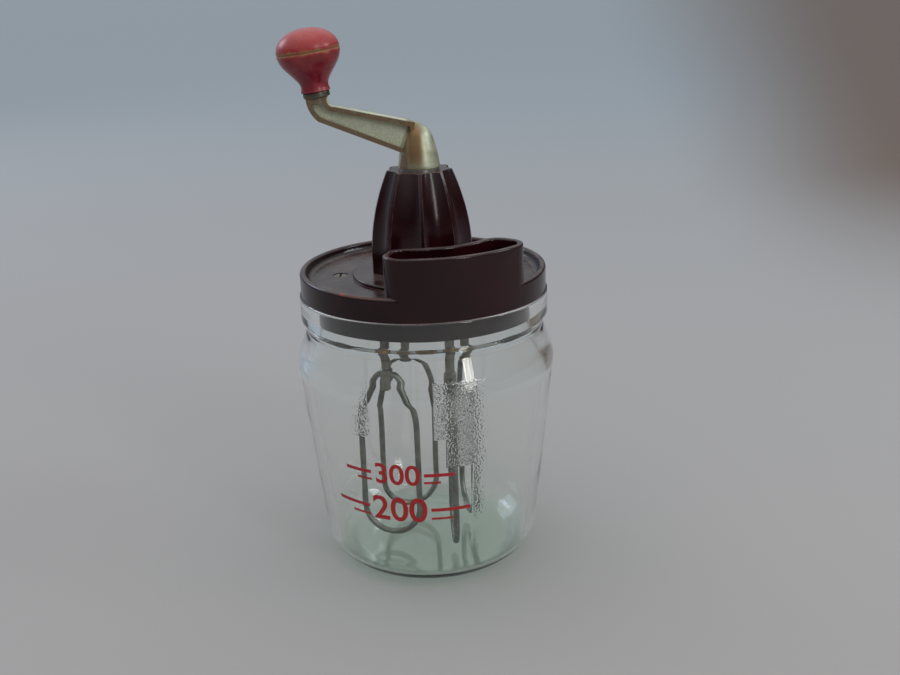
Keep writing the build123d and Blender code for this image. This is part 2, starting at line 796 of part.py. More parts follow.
# ---------------------------------------------------------------- whisks
def whisk_plane(number):
    """Upright plane of one wire loop, through the whisk's axis."""
    turn = math.radians(whisk_turns[number])
    x_dir = (math.cos(turn), math.sin(turn), 0)
    return Plane(origin=whisk_place(number), x_dir=x_dir, z_dir=(x_dir[1], -x_dir[0], 0))


def make_whisk(number):
    """Spindle with an eye at its lower end, and the bent wire loop that passes through the eye."""
    place = whisk_place(number)
    plane = whisk_plane(number)
    eye_low_z = loop_top_z - eye_height / 2
    with BuildPart() as spindle:
        with BuildSketch(Plane.XY.offset(loop_top_z)):
            with Locations(place[:2]):
                Circle(spindle_r)
        extrude(amount=spindle_top_z - loop_top_z)
        with BuildSketch(Plane.XY.offset(eye_low_z)):
            with Locations(place[:2]):
                Circle(eye_r)
        extrude(amount=eye_height)
        chamfer(spindle.edges().filter_by(GeomType.CIRCLE).group_by(SortBy.RADIUS)[-1], eye_chamfer)
        across = Plane(
            origin=(place[0], place[1], loop_top_z),
            x_dir=(0, 0, 1),
            z_dir=plane.x_dir,
        )
        with BuildSketch(across):
            Circle(wire_r + wire_play)
        extrude(amount=eye_r + overrun, both=True, mode=Mode.SUBTRACT)
    keep(spindle, f"whisk_spindle_{number}")

    crown = math.radians(loop_crown_turn)
    crown_x = loop_flat + loop_crown_r * math.sin(crown)
    crown_z = loop_top_z - loop_crown_r * (1 - math.cos(crown))
    side_r = (loop_half - crown_x) / (1 - math.sin(crown))
    side_z = crown_z - side_r * math.cos(crown)
    foot_z = loop_low_z + loop_half
    with BuildPart() as loop:
        for side in (1, -1):
            with BuildLine(plane) as path:
                Line((0, loop_top_z), (side * loop_flat, loop_top_z))
                half = crown / 2
                half_x = loop_flat + loop_crown_r * math.sin(half)
                half_z = loop_top_z - loop_crown_r * (1 - math.cos(half))
                ThreePointArc((side * loop_flat, loop_top_z), (side * half_x, half_z), (side * crown_x, crown_z))
                lower = (crown + math.pi / 2) / 2
                lower_x = loop_half - side_r + side_r * math.sin(lower)
                lower_z = side_z + side_r * math.cos(lower)
                ThreePointArc((side * crown_x, crown_z), (side * lower_x, lower_z), (side * loop_half, side_z))
                Line((side * loop_half, side_z), (side * loop_half, foot_z))
                slant = loop_half * math.sqrt(0.5)
                ThreePointArc((side * loop_half, foot_z), (side * slant, foot_z - slant), (0, loop_low_z))
            with BuildSketch(Plane(path.wire() @ 0, z_dir=path.wire() % 0)):
                Circle(wire_r)
            sweep(path=path.wire())
    keep(loop, f"whisk_loop_{number}")


def main():
    """Build every piece."""
    make_glass_jar()
    make_lid()
    make_gear_cover()
    make_bushes()
    make_cover_screws()
    make_gears()
    make_crank_shaft()
    make_crank_arm()
    make_knob()
    for number in range(1, whisk_count + 1):
        make_whisk(number)


main()
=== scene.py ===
"""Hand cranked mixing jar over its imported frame: glass, moulded lid, crank, knob, gears, whisks.

Sizes are written in millimetres and turned to metres where a mesh is made. Materials see metres,
as object coordinates do. Azimuths are counted in degrees from the front, -Y, towards +X.
"""
from __future__ import annotations

import logging
import math
from dataclasses import dataclass
from enum import Enum
from typing import Any, Sequence

import bmesh
import bpy
from mathutils import Matrix, Vector

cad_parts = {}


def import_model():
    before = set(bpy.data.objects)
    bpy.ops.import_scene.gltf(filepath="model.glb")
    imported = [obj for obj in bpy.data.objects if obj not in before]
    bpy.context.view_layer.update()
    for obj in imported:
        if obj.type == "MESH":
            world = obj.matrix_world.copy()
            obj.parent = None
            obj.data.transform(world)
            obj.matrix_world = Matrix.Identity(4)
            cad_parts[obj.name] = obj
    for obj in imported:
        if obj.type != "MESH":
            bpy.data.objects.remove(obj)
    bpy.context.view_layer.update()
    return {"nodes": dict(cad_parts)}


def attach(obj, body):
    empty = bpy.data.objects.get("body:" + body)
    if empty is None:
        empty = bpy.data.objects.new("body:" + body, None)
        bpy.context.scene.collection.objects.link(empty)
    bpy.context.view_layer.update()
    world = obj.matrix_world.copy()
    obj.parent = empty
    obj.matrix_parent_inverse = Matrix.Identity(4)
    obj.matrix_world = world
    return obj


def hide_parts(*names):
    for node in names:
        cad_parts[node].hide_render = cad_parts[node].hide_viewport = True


log = logging.getLogger("mixing_jar")

MM = 0.001
TO_MM = 1000.0
BASE_R = 46.0
TAPER = 0.105
KNOB_SEAT = (-40.15, 0.0, 202.6)
KNOB_LEAN = 7.5
KNOB_GROOVE_S = 18.4
WHISKS = (1, 2, 3, 4)
WELD = 1e-6
BESIDE = 0.3
BESIDE_SHARE = 0.2

Point = tuple[float, float]
Spot = tuple[float, float, float]
Shade = tuple[int, int, int]
Colour = tuple[float, float, float, float]


class Body(Enum):
    """Bodies of the frame that new pieces ride on."""

    JAR = "jar"
    KNOB = "knob"


def tone(red: int, green: int, blue: int) -> Colour:
    """Colour as written for a screen, made linear by the sRGB curve.

    Args:
        red: red part, 0 to 255.
        green: green part, 0 to 255.
        blue: blue part, 0 to 255.

    Returns:
        The linear colour, opaque.
    """

    def one(value: int) -> float:
        """One part of the colour, made linear."""
        share = value / 255
        return share / 12.92 if share <= 0.04045 else ((share + 0.055) / 1.055) ** 2.4

    return one(red), one(green), one(blue), 1.0


# ---------------------------------------------------------------- shader maths
class Signal:
    """A number in a material, with Python's operators on it."""

    def __init__(self, paint: Paint, socket: bpy.types.NodeSocket) -> None:
        """Keep the socket and the material that it belongs to."""
        self.paint = paint
        self.socket = socket

    def _math(self, operation: str, *values: Any) -> Signal:
        """Result of one Math node."""
        node = self.paint.node("Math", {"operation": operation}, dict(enumerate(values)))
        return Signal(self.paint, node.outputs[0])

    def __add__(self, other: Any) -> Signal:
        """Sum."""
        return self._math("ADD", self, other)

    __radd__ = __add__

    def __sub__(self, other: Any) -> Signal:
        """Difference."""
        return self._math("SUBTRACT", self, other)

    def __rsub__(self, other: Any) -> Signal:
        """Difference from a number."""
        return self._math("SUBTRACT", other, self)

    def __mul__(self, other: Any) -> Signal:
        """Product."""
        return self._math("MULTIPLY", self, other)

    __rmul__ = __mul__

    def __truediv__(self, other: Any) -> Signal:
        """Quotient."""
        return self._math("DIVIDE", self, other)

    def __pow__(self, other: Any) -> Signal:
        """Power."""
        return self._math("POWER", self, other)

    def size(self) -> Signal:
        """Value without its sign."""
        return self._math("ABSOLUTE", self)

    def most(self, other: Any) -> Signal:
        """Larger of two values."""
        return self._math("MAXIMUM", self, other)

    def root(self) -> Signal:
        """Square root."""
        return self._math("SQRT", self)

    def bearing(self, ahead: Any) -> Signal:
        """Angle in degrees of a point that lies this far across and so far ahead."""
        return self._math("ARCTAN2", self, ahead) * math.degrees(1)

    def rise(self, low: float, high: float) -> Signal:
        """Smooth step from 0 to 1.

        Args:
            low: value at which it is 0.
            high: value at which it is 1; it may be the lower number.

        Returns:
            The step.
        """
        if high < low:
            return 1 - self.rise(high, low)
        ends = {"Value": self, "From Min": low, "From Max": high}
        node = self.paint.node("MapRange", {"interpolation_type": "SMOOTHSTEP"}, ends)
        return Signal(self.paint, node.outputs["Result"])


class Paint:
    """Nodes of one material or of the sky, all made by one method."""

    def __init__(self, owner: Any, end: str = "OutputMaterial", place: str = "Object") -> None:
        """Start with the output and the coordinates alone.

        Args:
            owner: material or world that holds the nodes.
            end: kind of its output.
            place: name of the coordinates that it is painted in.
        """
        self.owner = owner
        owner.use_nodes = True
        self.tree = owner.node_tree
        self.tree.nodes.clear()
        self.end = self.node(end)
        self.place = self.node("TexCoord").outputs[place]

    def node(
        self, kind: str, settings: dict | None = None, inputs: dict | None = None
    ) -> bpy.types.Node:
        """Make a node, set it, then feed its sockets.

        Args:
            kind: node type without the word ShaderNode.
            settings: its properties, such as a Math node's operation.
            inputs: values, signals or sockets by the input's name or number.

        Returns:
            The node.
        """
        made = self.tree.nodes.new("ShaderNode" + kind)
        for key, value in (settings or {}).items():
            setattr(made, key, value)
        for key, value in (inputs or {}).items():
            if isinstance(value, Signal):
                value = value.socket
            if isinstance(value, bpy.types.NodeSocket):
                self.tree.links.new(value, made.inputs[key])
            else:
                made.inputs[key].default_value = value
        return made

    def axes(self, place: Any = None) -> tuple[Signal, ...]:
        """Coordinates of a place, or of the surface itself, one signal each."""
        node = self.node("SeparateXYZ", None, {0: place or self.place})
        return tuple(Signal(self, socket) for socket in node.outputs)

    def distance(self, spot: Spot) -> Signal:
        """Distance from a spot in metres."""
        x, y, z = (axis - at for axis, at in zip(self.axes(), spot))
        return (x**2 + y**2 + z**2).root()

    def moved(
        self, shift: Sequence[float], turn: Sequence[float] = (0, 0, 0), scale: Any = (1, 1, 1)
    ) -> bpy.types.NodeSocket:
        """Object coordinates moved, turned and scaled by a Mapping node."""
        values = {"Vector": self.place, "Location": shift, "Rotation": turn, "Scale": scale}
        return self.node("Mapping", {"vector_type": "TEXTURE"}, values).outputs[0]

    def noise(
        self, scale: float, detail: float = 3, rough: float = 0.55, place: Any = None
    ) -> Signal:
        """Cloudy noise about 0.5.

        Args:
            scale: its fineness, in clouds to the metre.
            detail: octaves of finer clouds.
            rough: weight of the finer clouds.
            place: coordinates that it lies in, or None for the object's own.

        Returns:
            The noise.
        """
        where = place or self.place
        values = {"Vector": where, "Scale": scale, "Detail": detail, "Roughness": rough}
        return Signal(self, self.node("TexNoise", None, values).outputs[0])

    def cells(self, scale: float, place: Any = None) -> Signal:
        """Distance to the nearest of many scattered points."""
        values = {"Vector": place or self.place, "Scale": scale}
        return Signal(self, self.node("TexVoronoi", {"feature": "SMOOTH_F1"}, values).outputs[0])

    def edges(self, radius: float, samples: int = 6, gain: float = 5) -> Signal:
        """Mask of sharp edges.

        Args:
            radius: how far it reaches from an edge, in metres.
            samples: rays that feel for the edge.
            gain: how fast it rises with the bend.

        Returns:
            Zero on flat faces and up to one on sharp edges.
        """
        soft = self.node("Bevel", {"samples": samples}, {"Radius": radius}).outputs[0]
        true = self.node("NewGeometry").outputs["Normal"]
        both = self.node("VectorMath", {"operation": "DOT_PRODUCT"}, {0: soft, 1: true})
        return ((1 - Signal(self, both.outputs["Value"])) * gain).rise(0.1, 1.0)

    def mix(self, share: Any, first: Any, second: Any) -> bpy.types.NodeSocket:
        """Blend of two colours."""
        node = self.node("Mix", {"data_type": "RGBA"}, {0: share, 6: first, 7: second})
        return node.outputs[2]

    def layers(
        self, share: Any, first: Shade, second: Shade, *over: tuple[Any, Shade]
    ) -> bpy.types.NodeSocket:
        """Blend of two screen colours with further ones laid over it.

        Args:
            share: share of the second colour in the blend.
            first: first colour.
            second: second colour.
            over: share and colour of each layer, in turn.

        Returns:
            The colour.
        """
        body = self.mix(share, tone(*first), tone(*second))
        for cover, shade in over:
            body = self.mix(cover, body, tone(*shade))
        return body

    def bump(self, height: Any, depth: float, normal: Any = None) -> bpy.types.NodeSocket:
        """Normal bent by a relief.

        Args:
            height: relief of 0 to 1.
            depth: what it is multiplied by, in metres.
            normal: normal that it starts from, or None for the mesh's own.

        Returns:
            The normal.
        """
        values = {"Height": height, "Distance": depth, "Strength": 1.0}
        if normal is not None:
            values["Normal"] = normal
        return self.node("Bump", None, values).outputs[0]

    def join(self, shader: bpy.types.Node) -> None:
        """Join a shader to the output."""
        self.tree.links.new(shader.outputs[0], self.end.inputs["Surface"])

    def surface(self, inputs: dict) -> Any:
        """Finish with a Principled shader.

        Args:
            inputs: values, signals or sockets by the input's name.

        Returns:
            The material.
        """
        self.join(self.node("BsdfPrincipled", None, inputs))
        return self.owner


# ---------------------------------------------------------------- finishes
@dataclass(frozen=True)
class Stipple:
    """One stippled field of the glass.

    Each edge is given by where it is still clear and where it is full, the heights in
    millimetres and the sides in degrees.
    """

    bottom: Point
    top: Point
    left: Point
    right: Point
    strength: float

    def mask(self, height: Signal, azimuth: Signal) -> Signal:
        """Strength of the field at a height and azimuth."""
        upright = height.rise(*self.bottom) * height.rise(*self.top)
        return upright * azimuth.rise(*self.left) * azimuth.rise(*self.right) * self.strength


@dataclass(frozen=True)
class JarGlass:
    """Pressed glass, clear in the wall and pale green in the base, with stippled fields."""

    clear: Shade = (252, 254, 252)
    green: Shade = (240, 250, 243)
    shadow: Shade = (236, 243, 238)
    index: float = 1.5
    green_z: Point = (15.0, 1.0)
    grain: float = 1300.0
    grain_depth: float = 0.00016
    ripple: float = 45.0
    ripple_depth: float = 0.00012
    skin_r: Point = (43.6, 44.0)
    fields: tuple[Stipple, ...] = (
        Stipple((73.0, 73.4), (98.0, 96.5), (-64.0, -40.0), (-25.7, -26.0), 0.6),
        Stipple((73.0, 73.4), (98.0, 96.5), (2.0, 2.3), (31.0, 25.0), 1.0),
        Stipple((60.0, 60.5), (74.0, 73.5), (7.0, 7.5), (31.0, 24.0), 1.0),
        Stipple((16.0, 26.0), (61.0, 60.5), (19.0, 20.0), (33.0, 26.0), 0.7),
    )

    def _stippled(self, paint: Paint) -> Signal:
        """Mask of the stippled fields, on the outside of the wall only.

        Args:
            paint: the nodes that it joins.

        Returns:
            The mask.
        """
        x, y, z = paint.axes()
        height = z * TO_MM
        azimuth = x.bearing(0 - y)
        outside = ((x * x + y * y).root() * TO_MM - height * TAPER).rise(*self.skin_r)
        whole, *rest = (one.mask(height, azimuth) for one in self.fields)
        for mask in rest:
            whole = whole.most(mask)
        return whole * outside

    def build(self) -> bpy.types.Material:
        """Make the material; its shadow is clear, so that the whisks inside stay lit.

        Returns:
            The material.
        """
        paint = Paint(bpy.data.materials.new("jar_glass"))
        height = paint.axes()[2] * TO_MM
        stippled = self._stippled(paint)
        grain = paint.cells(self.grain) + paint.noise(600, 2) * 0.4
        normal = paint.bump(paint.noise(self.ripple, 1) * 0.9, self.ripple_depth)
        glass = {
            "Base Color": paint.layers(height.rise(*self.green_z), self.clear, self.green),
            "Transmission Weight": 1.0,
            "IOR": self.index,
            "Roughness": stippled * 0.06 + 0.01,
            "Normal": paint.bump(grain * stippled, self.grain_depth, normal),
        }
        shader = paint.node("BsdfPrincipled", None, glass)
        path = paint.node("LightPath").outputs
        shadow, diffuse = (Signal(paint, path[f"Is {ray} Ray"]) for ray in ("Shadow", "Diffuse"))
        clear = paint.node("BsdfTransparent", None, {"Color": tone(*self.shadow)})
        parts = {0: shadow.most(diffuse), 1: shader.outputs[0], 2: clear.outputs[0]}
        paint.join(paint.node("MixShader", None, parts))
        return paint.owner


@dataclass(frozen=True)
class Bakelite:
    """Polished dark maroon moulding, mottled, dusty on top; lips worn paler plus a painted
    highlight; painted shade below the skirt.
    """

    deep: Shade = (24, 3, 8)
    maroon: Shade = (38, 7, 12)
    flowed: Shade = (58, 22, 24)
    dusty: Shade = (112, 94, 88)
    warm: Shade = (112, 66, 50)
    # pale lip colour: part wear, part painted highlight
    worn_and_highlight: Shade = (150, 106, 104)
    chipped: Shade = (142, 40, 40)
    # painted shade: near-black colour for the ring below the skirt, seen through the glass bead
    plug_shade: Shade = (14, 5, 7)
    warm_spot: Point = (-0.026, -0.044)
    warm_spread: Point = (60.0, 90.0)
    chip_spot: Spot = (-0.0315, -0.0397, 0.1312)
    chip_edge: Point = (0.0016, 0.0010)
    plug_shade_z: Point = (121.4, 120.6)
    edge_r: float = 0.0006

    def build(self) -> bpy.types.Material:
        """Make the material.

        Returns:
            The material.
        """
        paint = Paint(bpy.data.materials.new("bakelite"))
        x, y, z = paint.axes()
        up = paint.axes(paint.node("NewGeometry").outputs["Normal"])[2]
        cloud = paint.noise(38, 4, 0.6)
        flow = paint.noise(150, 5, 0.65, paint.moved((0, 0, 0), (0.3, 0.2, 0.4), (1, 1, 4)))
        dust = up.rise(0.6, 0.95) * paint.noise(90, 3).rise(0.3, 0.8)
        spread = zip((x, y), self.warm_spot, self.warm_spread)
        warm_x, warm_y = (((axis - at).size() * wide).rise(1, 0) for axis, at, wide in spread)
        # paler lips: wear and a painted highlight along the sharp edges
        worn_and_highlight = paint.edges(self.edge_r) * paint.noise(260, 3).rise(0.3, 0.62)
        streak = paint.noise(900, 2, 0.6, paint.moved((0, 0, 0), (0, 0, 0.5), (1, 12, 1)))
        # painted shade: the ring below the skirt, seen through the glass bead, is darkened almost
        # to black
        plug_shade = (z * TO_MM).rise(*self.plug_shade_z)
        body = paint.layers(
            cloud.rise(0.35, 0.7),
            self.deep,
            self.maroon,
            (flow.rise(0.58, 0.85) * 0.3, self.flowed),
            (dust * 0.5, self.dusty),
            (warm_x * warm_y * up.rise(0.3, 0.9) * 0.6, self.warm),
            (worn_and_highlight * 0.75, self.worn_and_highlight),
            (paint.distance(self.chip_spot).rise(*self.chip_edge), self.chipped),
            (plug_shade * 0.75, self.plug_shade),
        )
        dulled = cloud * 0.08 + dust * 0.14 + worn_and_highlight * 0.2 + streak.rise(0.6, 0.8) * 0.08
        return paint.surface(
            {
                "Base Color": body,
                "Roughness": 0.15 + dulled + plug_shade * 0.3,
                "Normal": paint.bump(paint.noise(420, 3), 0.00003),
                "Specular IOR Level": 0.34,
            }
        )


@dataclass(frozen=True)
class CastNickel:
    """Cast crank in thin plating: grey-green, worn brown on its edges, grainy in the web."""

    dull: Shade = (150, 154, 130)
    bright: Shade = (188, 192, 170)
    web_grey: Shade = (136, 140, 122)
    web_light: Shade = (176, 182, 164)
    web_pale: Shade = (196, 200, 178)
    web_dark: Shade = (112, 114, 98)
    brim_brown: Shade = (98, 68, 42)
    shaded: Shade = (104, 100, 78)
    stained: Shade = (118, 82, 42)
    edge_brown: Shade = (120, 92, 60)
    pitted: Shade = (70, 62, 50)
    arm_x: Point = (-0.0035, -0.005)
    web_y: Point = (0.0022, 0.0018)
    brim_y: Point = (0.0036, 0.0039)
    stain_z: float = 0.176
    edge_r: float = 0.0005

    def build(self) -> bpy.types.Material:
        """Make the material.

        Returns:
            The material.
        """
        paint = Paint(bpy.data.materials.new("cast_nickel"))
        x, y, z = paint.axes()
        grain = paint.noise(1500, 3, 0.7)
        cloud = paint.noise(170, 4, 0.6)
        on_arm = x.rise(*self.arm_x)
        web = on_arm * y.size().rise(*self.web_y)
        brim = on_arm * y.size().rise(*self.brim_y) * cloud.rise(0.2, 0.45)
        shade = x.rise(0.0045, -0.001) * (1 - on_arm) * y.rise(0.002, -0.003)
        foot = x.rise(-0.0058, -0.003) * x.rise(0.0034, 0.0) * y.rise(0, -0.004)
        stain = foot * (z - self.stain_z + cloud * 0.006).rise(-0.001, 0.006)
        pits = paint.cells(900).rise(0.12, 0.0) * paint.noise(300, 2).rise(0.5, 0.6)
        body = paint.layers(
            cloud.rise(0.35, 0.65),
            self.dull,
            self.bright,
            (web * grain.rise(0.42, 0.62) * 0.45, self.web_grey),
            (web * paint.noise(700, 2).rise(0.55, 0.7) * 0.5, self.web_light),
            (web * 0.75, self.web_pale),
            (web * (grain - cloud * 0.2).rise(0.38, 0.5) * 0.3, self.web_dark),
            (brim * 0.85, self.brim_brown),
            (shade * 0.6, self.shaded),
            (stain * 0.8, self.stained),
            (paint.edges(self.edge_r) * cloud.rise(0.3, 0.6) * 0.5, self.edge_brown),
            (pits * 0.6, self.pitted),
        )
        return paint.surface(
            {
                "Base Color": body,
                "Metallic": 0.6 - brim * 0.3 - web * 0.35,
                "Roughness": 0.34 + web * 0.3 + cloud * 0.14 + pits * 0.2,
                "Normal": paint.bump(grain * (web * 0.9 + 0.1), 0.00006),
            }
        )


@dataclass(frozen=True)
class PaintedWood:
    """Turned wood in glossy red paint, worn brown round its groove, with scratches and nicks."""

    low_red: Shade = (120, 28, 44)
    top_red: Shade = (152, 48, 48)
    faded: Shade = (186, 84, 80)
    shaded: Shade = (98, 34, 36)
    bare: Shade = (146, 108, 72)
    scored: Shade = (96, 50, 40)
    scratched: Shade = (214, 158, 140)
    nicked: Shade = (116, 82, 62)
    seat: Spot = tuple(value * MM for value in KNOB_SEAT)
    lean: float = math.radians(KNOB_LEAN)
    groove: float = KNOB_GROOVE_S * MM

    def build(self) -> bpy.types.Material:
        """Make the material, in coordinates that stand on the knob's own axis.

        Returns:
            The material.
        """
        paint = Paint(bpy.data.materials.new("painted_wood"))
        upright = (0, -self.lean, 0)
        turned = paint.moved(self.seat, upright)
        s = paint.axes(turned)[2]
        cloud = paint.noise(120, 4, 0.6, turned)
        patch = paint.noise(90, 2, 0.5, turned).rise(0.3, 0.55)
        shade = s.rise(0.0176, 0.0166) * s.rise(0.0118, 0.0145) * patch
        jag = paint.noise(260, 4, 0.7, turned) - 0.5
        near = (s - self.groove + jag * 0.0042).size()
        worn = near.rise(0.0013, 0.0004) * paint.noise(75, 2, 0.5, turned).rise(0.3, 0.46)
        line = (s - self.groove).size().rise(0.00042, 0.00022)
        lengthwise = paint.moved(self.seat, upright, (0.25, 0.25, 4.0))
        scratch = paint.noise(700, 2, 0.6, lengthwise).rise(0.68, 0.72)
        scratch = scratch * paint.noise(60, 1, 0.5, turned).rise(0.5, 0.6)
        nick = paint.cells(420, turned).rise(0.10, 0.05)
        nick = nick * paint.noise(50, 2, 0.5, turned).rise(0.52, 0.6)
        rings = paint.noise(500, 2, 0.5, paint.moved(self.seat, upright, (9, 9, 0.5)))
        body = paint.layers(
            s.rise(0.010, 0.024),
            self.low_red,
            self.top_red,
            (cloud.rise(0.42, 0.7) * 0.4, self.faded),
            (shade * 0.55, self.shaded),
            (worn, self.bare),
            (line * 0.5, self.scored),
            (scratch * 0.7, self.scratched),
            (nick, self.nicked),
        )
        height = rings * 0.3 + cloud * 0.5 - worn * 0.6 - nick * 0.8
        return paint.surface(
            {
                "Base Color": body,
                "Roughness": 0.22 + cloud * 0.12 + worn * 0.35 + scratch * 0.2 + nick * 0.2,
                "Normal": paint.bump(height, 0.00014),
                "Specular IOR Level": 0.36,
            }
        )


@dataclass(frozen=True)
class Metal:
    """Plain metal with drawn or turned marks, tarnish and speckle."""

    name: str
    bright: Shade
    dull: Shade
    tarnish: Shade
    rough: float
    drawn: Spot = (1.0, 1.0, 1.0)
    marks: float = 800.0
    stained: float = 0.4

    def build(self) -> bpy.types.Material:
        """Make the material.

        Returns:
            The material.
        """
        paint = Paint(bpy.data.materials.new(self.name))
        cloud = paint.noise(140, 4, 0.6)
        mark = paint.noise(self.marks, 3, 0.6, paint.moved((0, 0, 0), (0, 0, 0), self.drawn))
        stain = paint.noise(230, 4, 0.65).rise(0.5, 0.72)
        body = paint.layers(
            cloud.rise(0.3, 0.7),
            self.bright,
            self.dull,
            (stain * self.stained, self.tarnish),
            (mark.rise(0.55, 0.8) * 0.3, self.tarnish),
        )
        return paint.surface(
            {
                "Base Color": body,
                "Metallic": 0.9 - stain * 0.4,
                "Roughness": self.rough + cloud * 0.12 + stain * 0.18,
                "Normal": paint.bump(mark, 0.00004),
            }
        )


@dataclass(frozen=True)
class ScaleInk:
    """Fired red enamel of the level marks, a little patchy."""

    fresh: Shade = (176, 30, 34)
    faded: Shade = (148, 26, 32)

    def build(self) -> bpy.types.Material:
        """Make the material.

        Returns:
            The material.
        """
        paint = Paint(bpy.data.materials.new("scale_ink"))
        patch = paint.noise(900, 3, 0.7)
        return paint.surface(
            {
                "Base Color": paint.layers(patch.rise(0.4, 0.7), self.fresh, self.faded),
                "Roughness": 0.32 + patch * 0.1,
                "Normal": paint.bump(patch, 0.00003),
            }
        )


@dataclass(frozen=True)
class PaleFloor:
    """Pale backdrop paper, cooler with distance, with a painted brown shadow in the far right
    corner.
    """

    near: Shade = (151, 148, 147)
    far: Shade = (143, 154, 163)
    # painted shadow colour for the far right corner
    brown: Shade = (88, 66, 50)
    eye_y: float = -0.45
    shadow_x: float = 0.13
    shadow_slope: Point = (0.12, 0.36)

    def build(self) -> bpy.types.Material:
        """Make the material.

        Returns:
            The material.
        """
        paint = Paint(bpy.data.materials.new("pale_floor"))
        x, y, _ = paint.axes()
        away = (y + x * 0.25).rise(-0.3, 2.2)
        # painted shadow: a brown wedge over the far right of the floor, widening away from the eye
        corner = ((x - self.shadow_x) / (y - self.eye_y)).rise(*self.shadow_slope)
        corner = corner * y.rise(0.2, 0.9) * 0.85
        return paint.surface(
            {
                "Base Color": paint.layers(away, self.near, self.far, (corner, self.brown)),
                "Roughness": 0.85,
                "Normal": paint.bump(paint.noise(300, 2), 0.00003),
            }
        )


@dataclass(frozen=True)
class Shelf:
    """All the finishes of the object, made once."""

    glass: bpy.types.Material
    ink: bpy.types.Material
    bakelite: bpy.types.Material
    nickel: bpy.types.Material
    collar: bpy.types.Material
    wood: bpy.types.Material
    brass: bpy.types.Material
    plate: bpy.types.Material
    screw: bpy.types.Material
    rod: bpy.types.Material
    gear: bpy.types.Material
    wire: bpy.types.Material

    @classmethod
    def fill(cls) -> Shelf:
        """Make every finish; a metal's tones are bright, dull and tarnished.

        Returns:
            The finishes.
        """
        metals = {
            "collar": Metal("collar_nickel", (112, 112, 98), (84, 82, 70), (66, 54, 40), 0.3),
            "brass": Metal("bush_brass", (176, 148, 88), (146, 118, 66), (92, 70, 40), 0.3),
            "plate": Metal(
                "sheet_steel", (158, 158, 152), (132, 130, 124), (98, 84, 66), 0.3, (1, 14, 1)
            ),
            "screw": Metal("turned_steel", (128, 126, 118), (98, 94, 86), (84, 62, 42), 0.34),
            "rod": Metal(
                "drawn_steel", (132, 132, 124), (104, 102, 94), (106, 78, 58), 0.34, (1, 1, 10)
            ),
            "gear": Metal(
                "cast_gear_metal", (168, 168, 162), (140, 140, 136), (110, 104, 94), 0.42
            ),
            "wire": Metal(
                "tinned_wire",
                (130, 134, 128),
                (96, 98, 94),
                (110, 84, 66),
                0.34,
                (1, 1, 6),
                marks=700,
                stained=0.5,
            ),
        }
        return cls(
            glass=JarGlass().build(),
            ink=ScaleInk().build(),
            bakelite=Bakelite().build(),
            nickel=CastNickel().build(),
            wood=PaintedWood().build(),
            **{use: metal.build() for use, metal in metals.items()},
        )


# ---------------------------------------------------------------- mesh helpers
def rounded(corners: Sequence[Spot], steps: int) -> list[Point]:
    """Profile through corners, each rounded by its own radius, with a point beside each round.

    Args:
        corners: across, up and rounding radius of each corner in millimetres.
        steps: faces in each round.

    Returns:
        The points in order.
    """
    out: list[Point] = []
    for index, (across, up, radius) in enumerate(corners):
        here = Vector((across, up))
        if radius <= 0 or index in (0, len(corners) - 1):
            out.append((across, up))
            continue
        back = (Vector(corners[index - 1][:2]) - here).normalized()
        on = (Vector(corners[index + 1][:2]) - here).normalized()
        half = back.angle(on) / 2
        reach = radius / math.tan(half)
        middle = here + (back + on).normalized() * (radius / math.sin(half))
        first = here + back * reach
        last = here + on * reach
        beside = min(BESIDE, radius * BESIDE_SHARE)
        out.append(tuple(first + back * beside))
        start = first - middle
        swing = start.angle_signed(last - middle)
        for step in range(steps + 1):
            turned = start.copy()
            turned.rotate(Matrix.Rotation(-swing * step / steps, 2))
            out.append(tuple(middle + turned))
        out.append(tuple(last + on * beside))
    return out


def lathe(profile: Sequence[Point], steps: int) -> bmesh.types.BMesh:
    """Spin a profile of radius and height about the upright axis.

    Args:
        profile: points in millimetres, from the axis to the axis.
        steps: faces round.

    Returns:
        A closed mesh in metres.
    """
    bm = bmesh.new()
    verts = [bm.verts.new((across * MM, 0, up * MM)) for across, up in profile]
    edges = [bm.edges.new(pair) for pair in zip(verts, verts[1:])]
    round_axis = {"axis": (0, 0, 1), "cent": (0, 0, 0), "angle": math.tau}
    bmesh.ops.spin(bm, geom=verts + edges, steps=steps, use_merge=True, **round_axis)
    bmesh.ops.remove_doubles(bm, verts=bm.verts, dist=WELD)
    bmesh.ops.recalc_face_normals(bm, faces=bm.faces)
    return bm


def piece(
    name: str, bm: bmesh.types.BMesh, material: bpy.types.Material, body: Body, smooth: bool = True
) -> bpy.types.Object:
    """Finished object from a mesh.

    Args:
        name: its name.
        bm: mesh in its place, in metres.
        material: its finish.
        body: body that it rides on.
        smooth: shade smooth.

    Returns:
        The object.
    """
    mesh = bpy.data.meshes.new(name)
    bm.to_mesh(mesh)
    bm.free()
    mesh.polygons.foreach_set("use_smooth", [smooth] * len(mesh.polygons))
    mesh.materials.append(material)
    made = bpy.data.objects.new(name, mesh)
    bpy.context.scene.collection.objects.link(made)
    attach(made, body.value)
    log.info("%s: %d faces", name, len(mesh.polygons))
    return made


def dress(nodes: dict[str, Any], names: Sequence[str], material: bpy.types.Material) -> None:
    """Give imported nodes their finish.

    Args:
        nodes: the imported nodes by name.
        names: those to dress.
        material: their finish.
    """
    for name in names:
        held = nodes[name].data.materials
        held.clear()
        held.append(material)
        log.info("%s: %s", name, material.name)


# ---------------------------------------------------------------- sub-assemblies
def wall_r(height: float) -> float:
    """Radius of the jar's tapered outer wall at a height, in millimetres."""
    return BASE_R + TAPER * height


@dataclass(frozen=True)
class Level:
    """One printed level: its number, its height, the number's height and its bars' length."""

    text: str
    height: float
    tall: float
    bar: float


